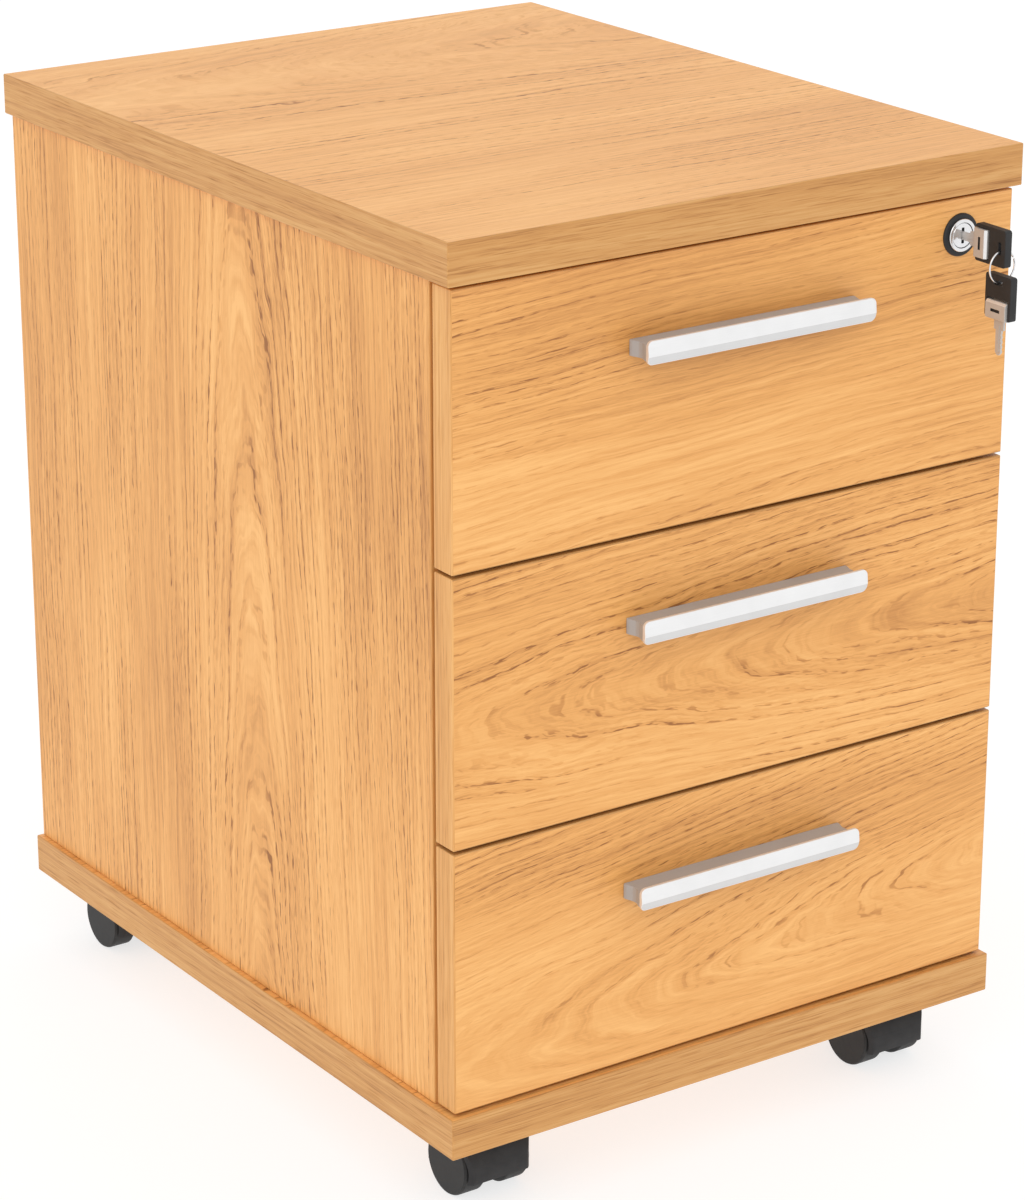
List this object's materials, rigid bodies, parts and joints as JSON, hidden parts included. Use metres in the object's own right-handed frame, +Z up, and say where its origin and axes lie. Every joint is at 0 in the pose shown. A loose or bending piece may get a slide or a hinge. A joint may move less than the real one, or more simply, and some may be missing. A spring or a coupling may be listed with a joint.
{
  "type": "rolling pedestal cabinet",
  "caption": "Boxy wood-look drawer cabinet on twin-wheel swivel casters, with bar handles on full-width drawer fronts and a key lock in the top drawer.",
  "frame": {"origin": "on the floor, under the middle of the whole object's box (the box runs from the hanging key in front to the top panel's rear edge)", "axes": "+Z up; the drawers open towards -Y; +X is to the right for someone facing the drawers"},
  "size_m": [0.4, 0.545, 0.59],
  "materials": {
    "laminate": "beech-look melamine foil, satin",
    "drawer_board": "off-white melamine foil, matt",
    "drawer_steel": "light grey epoxy powder coat, satin",
    "runner_steel": "white epoxy powder coat, satin",
    "satin_metal": "satin nickel plate",
    "chrome": "polished nickel-chrome plate",
    "zinc_steel": "bright zinc plate",
    "nylon": "natural nylon, matt",
    "black_plastic": "black moulded plastic, fine texture",
    "wheel_plastic": "dark grey moulded nylon, matt"
  },
  "bodies": {
    "cabinet": {"top_panel": "laminate", "base_panel": "laminate", "side_panel_left": "laminate", "side_panel_right": "laminate", "back_panel": "laminate", "cabinet_runner_1_left": "runner_steel", "cabinet_runner_1_right": "runner_steel", "cabinet_runner_2_left": "runner_steel", "cabinet_runner_2_right": "runner_steel", "cabinet_runner_3_left": "runner_steel", "cabinet_runner_3_right": "runner_steel", "lock_bar_guide_upper": "nylon", "lock_bar_guide_lower": "nylon", "caster_front_left_plate": "zinc_steel", "caster_front_right_plate": "zinc_steel", "caster_rear_left_plate": "zinc_steel", "caster_rear_right_plate": "zinc_steel"},
    "drawer_1": {"drawer_front_1": "laminate", "drawer_side_left_1": "drawer_steel", "drawer_side_right_1": "drawer_steel", "drawer_back_1": "drawer_board", "drawer_bottom_1": "drawer_board", "handle_1": "satin_metal", "lock_rosette": "black_plastic", "lock_housing": "chrome"},
    "drawer_2": {"drawer_front_2": "laminate", "drawer_side_left_2": "drawer_steel", "drawer_side_right_2": "drawer_steel", "drawer_back_2": "drawer_board", "drawer_bottom_2": "drawer_board", "handle_2": "satin_metal"},
    "drawer_3": {"drawer_front_3": "laminate", "drawer_side_left_3": "drawer_steel", "drawer_side_right_3": "drawer_steel", "drawer_back_3": "drawer_board", "drawer_bottom_3": "drawer_board", "handle_3": "satin_metal"},
    "lock_bar": {"lock_bar": "zinc_steel"},
    "lock_plug": {"lock_plug": "chrome", "key_blade": "satin_metal"},
    "key_head": {"key_head": "black_plastic"},
    "key_ring": {"key_ring": "chrome"},
    "spare_key_head": {"spare_key_head": "black_plastic"},
    "spare_key_blade": {"spare_key_blade": "satin_metal"},
    "caster_front_left": {"caster_front_left_hood": "black_plastic", "caster_front_left_axle": "zinc_steel"},
    "caster_front_left_wheel_left": {"caster_front_left_wheel_left": "wheel_plastic"},
    "caster_front_left_wheel_right": {"caster_front_left_wheel_right": "wheel_plastic"},
    "caster_front_right": {"caster_front_right_hood": "black_plastic", "caster_front_right_axle": "zinc_steel"},
    "caster_front_right_wheel_left": {"caster_front_right_wheel_left": "wheel_plastic"},
    "caster_front_right_wheel_right": {"caster_front_right_wheel_right": "wheel_plastic"},
    "caster_rear_left": {"caster_rear_left_hood": "black_plastic", "caster_rear_left_axle": "zinc_steel"},
    "caster_rear_left_wheel_left": {"caster_rear_left_wheel_left": "wheel_plastic"},
    "caster_rear_left_wheel_right": {"caster_rear_left_wheel_right": "wheel_plastic"},
    "caster_rear_right": {"caster_rear_right_hood": "black_plastic", "caster_rear_right_axle": "zinc_steel"},
    "caster_rear_right_wheel_left": {"caster_rear_right_wheel_left": "wheel_plastic"},
    "caster_rear_right_wheel_right": {"caster_rear_right_wheel_right": "wheel_plastic"}
  },
  "joints": [
    {"name": "drawer_1_slide", "type": "slide", "parent": "cabinet", "child": "drawer_1", "axis": [0, -1, 0], "range_m": [0, 0.3]},
    {"name": "drawer_2_slide", "type": "slide", "parent": "cabinet", "child": "drawer_2", "axis": [0, -1, 0], "range_m": [0, 0.3]},
    {"name": "drawer_3_slide", "type": "slide", "parent": "cabinet", "child": "drawer_3", "axis": [0, -1, 0], "range_m": [0, 0.3]},
    {"name": "lock_turn", "type": "hinge", "parent": "drawer_1", "child": "lock_plug", "pos_m": [0.157, -0.224, 0.541], "axis": [0, 1, 0], "range_deg": [0, 90]},
    {"name": "lock_bar_slide", "type": "slide", "parent": "cabinet", "child": "lock_bar", "axis": [0, 0, -1], "range_m": [0, 0.008]},
    {"name": "key_fold", "type": "hinge", "parent": "lock_plug", "child": "key_head", "pos_m": [0.157, -0.2455, 0.541], "axis": [0, 0, 1], "range_deg": [-90, 90]},
    {"name": "key_ring_swing", "type": "hinge", "parent": "key_head", "child": "key_ring", "pos_m": [0.157, -0.2615, 0.5395], "axis": [0, 1, 0], "range_deg": [-20, 20]},
    {"name": "spare_key_slip", "type": "hinge", "parent": "key_ring", "child": "spare_key_head", "pos_m": [0.157, -0.2615, 0.5301], "axis": [0, 1, 0], "range_deg": [-90, 90]},
    {"name": "spare_key_fold", "type": "hinge", "parent": "spare_key_head", "child": "spare_key_blade", "pos_m": [0.157, -0.2615, 0.5047], "axis": [0, 1, 0], "range_deg": [-90, 90]},
    {"name": "caster_front_left_swivel", "type": "hinge", "parent": "cabinet", "child": "caster_front_left", "pos_m": [-0.15, -0.1925, 0.05], "axis": [0, 0, 1], "continuous": true},
    {"name": "caster_front_left_wheel_left_spin", "type": "hinge", "parent": "caster_front_left", "child": "caster_front_left_wheel_left", "pos_m": [-0.15, -0.1795, 0.02], "axis": [1, 0, 0], "continuous": true},
    {"name": "caster_front_left_wheel_right_spin", "type": "hinge", "parent": "caster_front_left", "child": "caster_front_left_wheel_right", "pos_m": [-0.15, -0.1795, 0.02], "axis": [1, 0, 0], "continuous": true},
    {"name": "caster_front_right_swivel", "type": "hinge", "parent": "cabinet", "child": "caster_front_right", "pos_m": [0.15, -0.1925, 0.05], "axis": [0, 0, 1], "continuous": true},
    {"name": "caster_front_right_wheel_left_spin", "type": "hinge", "parent": "caster_front_right", "child": "caster_front_right_wheel_left", "pos_m": [0.15, -0.1795, 0.02], "axis": [1, 0, 0], "continuous": true},
    {"name": "caster_front_right_wheel_right_spin", "type": "hinge", "parent": "caster_front_right", "child": "caster_front_right_wheel_right", "pos_m": [0.15, -0.1795, 0.02], "axis": [1, 0, 0], "continuous": true},
    {"name": "caster_rear_left_swivel", "type": "hinge", "parent": "cabinet", "child": "caster_rear_left", "pos_m": [-0.15, 0.2245, 0.05], "axis": [0, 0, 1], "continuous": true},
    {"name": "caster_rear_left_wheel_left_spin", "type": "hinge", "parent": "caster_rear_left", "child": "caster_rear_left_wheel_left", "pos_m": [-0.15, 0.2375, 0.02], "axis": [1, 0, 0], "continuous": true},
    {"name": "caster_rear_left_wheel_right_spin", "type": "hinge", "parent": "caster_rear_left", "child": "caster_rear_left_wheel_right", "pos_m": [-0.15, 0.2375, 0.02], "axis": [1, 0, 0], "continuous": true},
    {"name": "caster_rear_right_swivel", "type": "hinge", "parent": "cabinet", "child": "caster_rear_right", "pos_m": [0.15, 0.2245, 0.05], "axis": [0, 0, 1], "continuous": true},
    {"name": "caster_rear_right_wheel_left_spin", "type": "hinge", "parent": "caster_rear_right", "child": "caster_rear_right_wheel_left", "pos_m": [0.15, 0.2375, 0.02], "axis": [1, 0, 0], "continuous": true},
    {"name": "caster_rear_right_wheel_right_spin", "type": "hinge", "parent": "caster_rear_right", "child": "caster_rear_right_wheel_right", "pos_m": [0.15, 0.2375, 0.02], "axis": [1, 0, 0], "continuous": true}
  ],
  "couplings": [
    {"joint": "lock_turn", "follows": "lock_bar_slide", "rad_per_m": 196.34}
  ]
}
